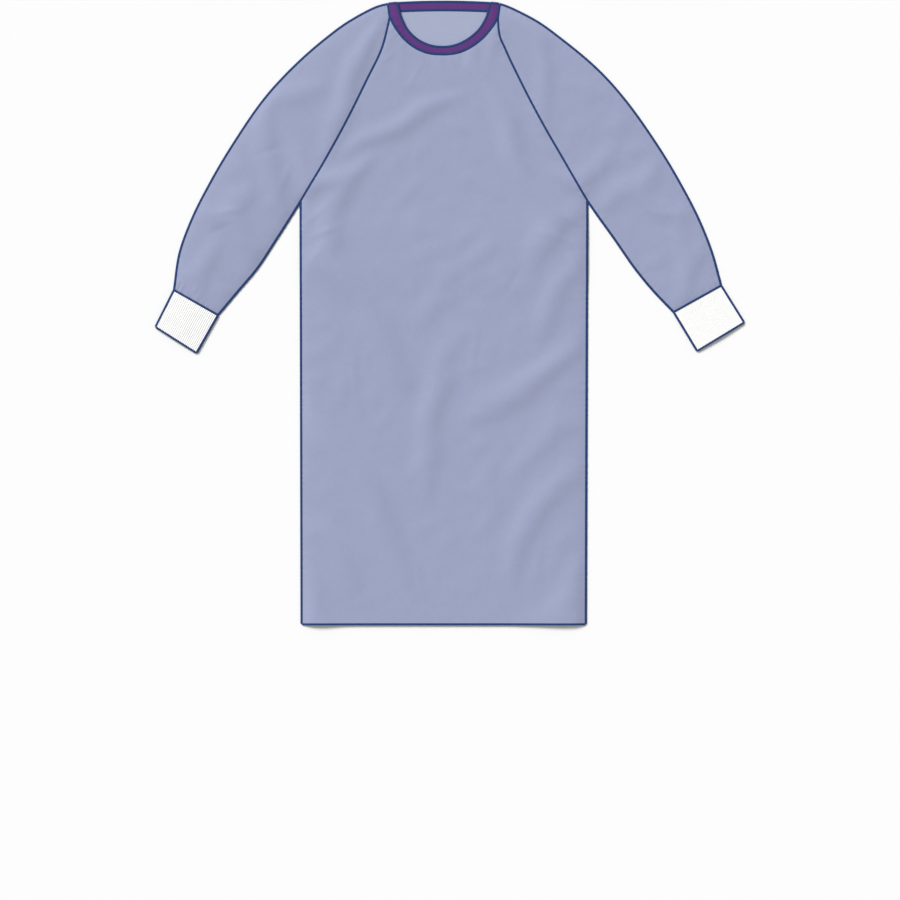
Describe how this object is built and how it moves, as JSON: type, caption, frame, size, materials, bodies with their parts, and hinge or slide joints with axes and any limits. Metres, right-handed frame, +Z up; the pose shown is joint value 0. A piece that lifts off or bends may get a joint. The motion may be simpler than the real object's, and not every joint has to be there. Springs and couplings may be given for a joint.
{
  "type": "surgical gown",
  "caption": "Long-sleeved surgical gown laid out flat and face up, with raglan sleeves, rib-knit cuffs, a contrast neck band and a lapped back.",
  "frame": {"origin": "on the centre-front line at mid-length, on the flat underside that rests on the surface", "axes": "+X towards the wearer's left, +Y towards the neck, +Z up from the surface through the back layer to the front layer"},
  "size_m": [1.1822, 1.25, 0.0096],
  "materials": {
    "cloth": "matt nonwoven, slightly silky",
    "cloth_inside": "matt nonwoven",
    "knit": "matt rib knit",
    "band": "matt woven tape",
    "thread": "matt overlock thread"
  },
  "bodies": {
    "root": {"front": "cloth", "back_left": "cloth_inside", "back_right": "cloth_inside", "sleeve_right_front": "cloth", "sleeve_right_back": "cloth", "sleeve_left_front": "cloth", "sleeve_left_back": "cloth", "cuff_right_front": "knit", "cuff_right_back": "knit", "cuff_left_front": "knit", "cuff_left_back": "knit", "neck_band_front": "band", "neck_band_back_left": "band", "neck_band_back_right": "band", "tie_outer_flap": "cloth", "tie_side_seam": "cloth"}
  },
  "joints": []
}
